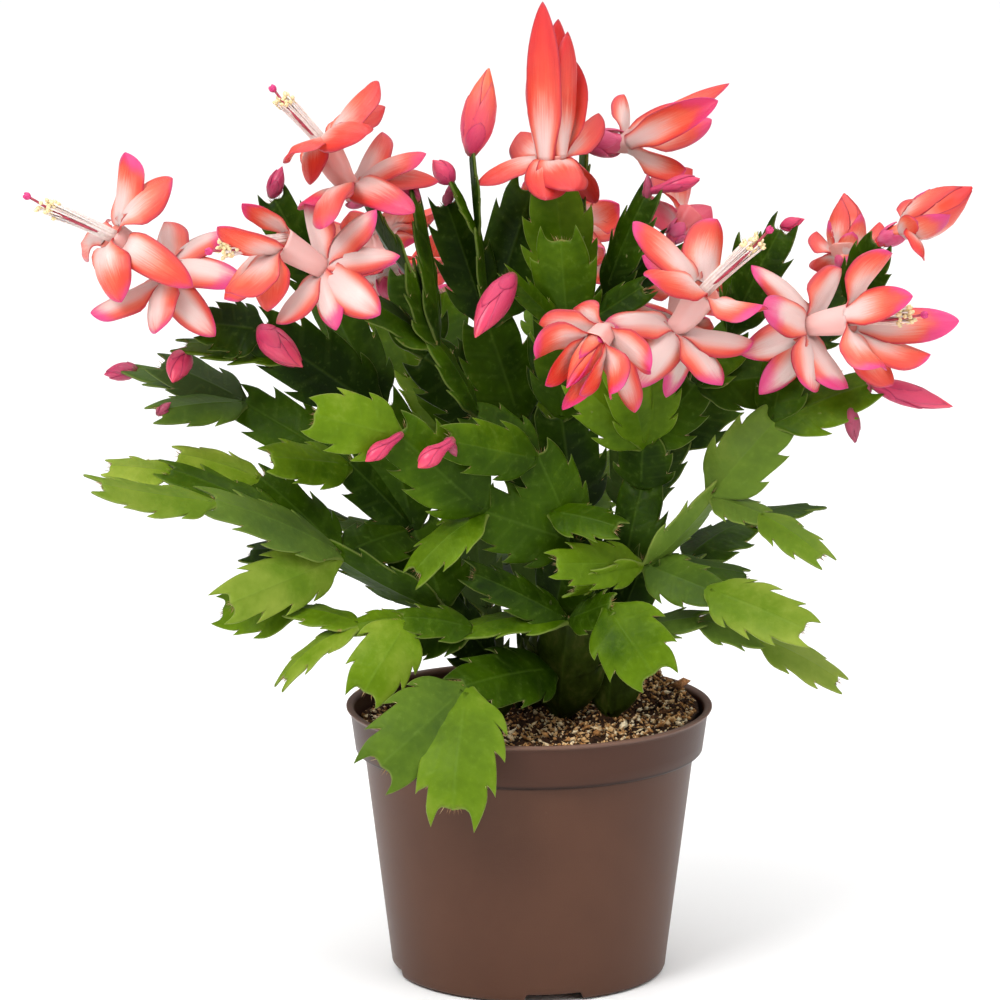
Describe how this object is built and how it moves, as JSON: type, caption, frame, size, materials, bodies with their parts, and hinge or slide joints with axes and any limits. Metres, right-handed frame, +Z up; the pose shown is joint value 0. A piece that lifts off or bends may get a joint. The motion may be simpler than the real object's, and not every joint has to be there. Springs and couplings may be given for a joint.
{
  "type": "potted christmas cactus",
  "caption": "Flowering christmas cactus of flat toothed segments with coral blooms and pink buds, rooted in peat in a plain brown nursery pot.",
  "frame": {"origin": "centre of the pot's flat underside", "axes": "+Z up, -Y towards the viewer of the picture, +X to the viewer's right"},
  "size_m": [0.3017, 0.2225, 0.3166],
  "materials": {
    "pot_plastic": "brown moulded plastic with a soft sheen",
    "peat": "dark crumbly peat with tan fibres and bark chips",
    "leaf": "fleshy green segments with a waxy sheen, lighter at the young tips",
    "petal": "satin petals, white at the throat, coral in the middle and pink at the tips",
    "stamen": "pale filaments with cream anthers and a magenta stigma",
    "bud": "smooth closed pink buds"
  },
  "bodies": {
    "root": {"bloom_back": "petal", "bloom_back_left": "petal", "bloom_back_low": "petal", "bloom_back_right": "petal", "bloom_behind_centre": "petal", "bloom_behind_right": "petal", "bloom_centre": "petal", "bloom_centre_right": "petal", "bloom_far_left": "petal", "bloom_far_right": "petal", "bloom_front": "petal", "bloom_half_open": "petal", "bloom_left": "petal", "bloom_right": "petal", "bloom_upper_left": "petal", "bud_far_left": "bud", "bud_left": "bud", "bud_left_low": "bud", "bud_mid": "bud", "bud_mid_small": "bud", "bud_middle": "bud", "bud_right": "bud", "bud_right_small": "bud", "bud_upper_left": "bud", "bud_upper_middle": "bud", "bud_upper_right": "bud", "bud_upper_small": "bud", "bud_upright": "bud", "pot": "pot_plastic", "soil": "peat", "stamens_far_left": "stamen", "stamens_far_right": "stamen", "stamens_left": "stamen", "stamens_right": "stamen", "stamens_upper_left": "stamen", "stem_back": "leaf", "stem_back_left": "leaf", "stem_back_right": "leaf", "stem_centre": "leaf", "stem_front": "leaf", "stem_left": "leaf", "stem_mid": "leaf", "stem_right": "leaf"}
  },
  "joints": []
}
